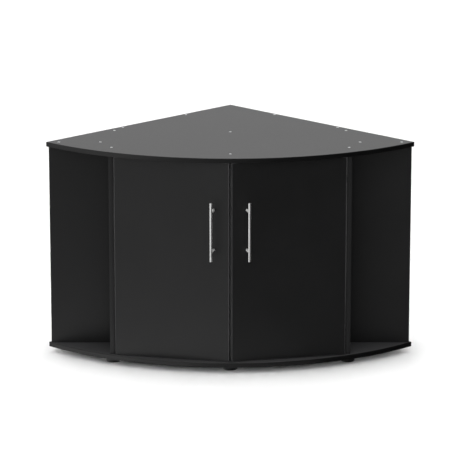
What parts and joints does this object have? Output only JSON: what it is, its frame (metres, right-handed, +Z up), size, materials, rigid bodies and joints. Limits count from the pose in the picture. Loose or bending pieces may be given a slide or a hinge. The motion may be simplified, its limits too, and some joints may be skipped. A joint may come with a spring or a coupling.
{
  "type": "aquarium stand cabinet",
  "caption": "Quarter-round corner cabinet that carries an aquarium: two flat hinged doors with bar handles, an open niche at each side, on round glides.",
  "frame": {"origin": "on the floor, at the centre of the bounding box's footprint", "axes": "+X is right for someone who faces the doors, +Y runs to the back corner, +Z is up"},
  "size_m": [1.2304, 0.8912, 0.73],
  "materials": {
    "black_board": "particle board with a smooth black melamine facing, satin",
    "brushed_steel": "brushed stainless steel",
    "zinc_steel": "zinc plated, satin",
    "glide_plastic": "moulded black plastic, matte"
  },
  "bodies": {
    "carcass": {"top_plate": "black_board", "base_plate": "black_board", "centre_partition": "black_board", "top_screw_centre_front": "zinc_steel", "top_screw_centre_back": "zinc_steel", "foot_centre_front": "glide_plastic", "foot_centre_back": "glide_plastic", "foot_back_corner": "glide_plastic", "side_partition_left": "black_board", "niche_wall_left": "black_board", "back_panel_left": "black_board", "hinge_arm_lower_left": "zinc_steel", "hinge_plate_lower_left": "zinc_steel", "hinge_arm_upper_left": "zinc_steel", "hinge_plate_upper_left": "zinc_steel", "top_screw_niche_outer_left": "zinc_steel", "top_screw_niche_inner_left": "zinc_steel", "top_screw_side_front_left": "zinc_steel", "top_screw_side_back_left": "zinc_steel", "top_screw_back_outer_left": "zinc_steel", "top_screw_back_inner_left": "zinc_steel", "foot_side_front_left": "glide_plastic", "foot_side_back_left": "glide_plastic", "foot_niche_left": "glide_plastic", "side_partition_right": "black_board", "niche_wall_right": "black_board", "back_panel_right": "black_board", "hinge_arm_lower_right": "zinc_steel", "hinge_plate_lower_right": "zinc_steel", "hinge_arm_upper_right": "zinc_steel", "hinge_plate_upper_right": "zinc_steel", "top_screw_niche_outer_right": "zinc_steel", "top_screw_niche_inner_right": "zinc_steel", "top_screw_side_front_right": "zinc_steel", "top_screw_side_back_right": "zinc_steel", "top_screw_back_outer_right": "zinc_steel", "top_screw_back_inner_right": "zinc_steel", "foot_side_front_right": "glide_plastic", "foot_side_back_right": "glide_plastic", "foot_niche_right": "glide_plastic"},
    "door_left": {"door_left": "black_board", "handle_bar_left": "brushed_steel", "handle_post_lower_left": "brushed_steel", "handle_post_upper_left": "brushed_steel", "hinge_cup_lower_left": "zinc_steel", "hinge_pin_lower_left": "zinc_steel", "hinge_cup_upper_left": "zinc_steel", "hinge_pin_upper_left": "zinc_steel"},
    "door_right": {"door_right": "black_board", "handle_bar_right": "brushed_steel", "handle_post_lower_right": "brushed_steel", "handle_post_upper_right": "brushed_steel", "hinge_cup_lower_right": "zinc_steel", "hinge_pin_lower_right": "zinc_steel", "hinge_cup_upper_right": "zinc_steel", "hinge_pin_upper_right": "zinc_steel"}
  },
  "joints": [
    {"name": "door_left_hinge", "type": "hinge", "parent": "carcass", "child": "door_left", "pos_m": [-0.37242, -0.32016, 0.3745], "axis": [0, 0, -1], "range_deg": [0, 95]},
    {"name": "door_right_hinge", "type": "hinge", "parent": "carcass", "child": "door_right", "pos_m": [0.37242, -0.32016, 0.3745], "axis": [0, 0, 1], "range_deg": [0, 95]}
  ]
}
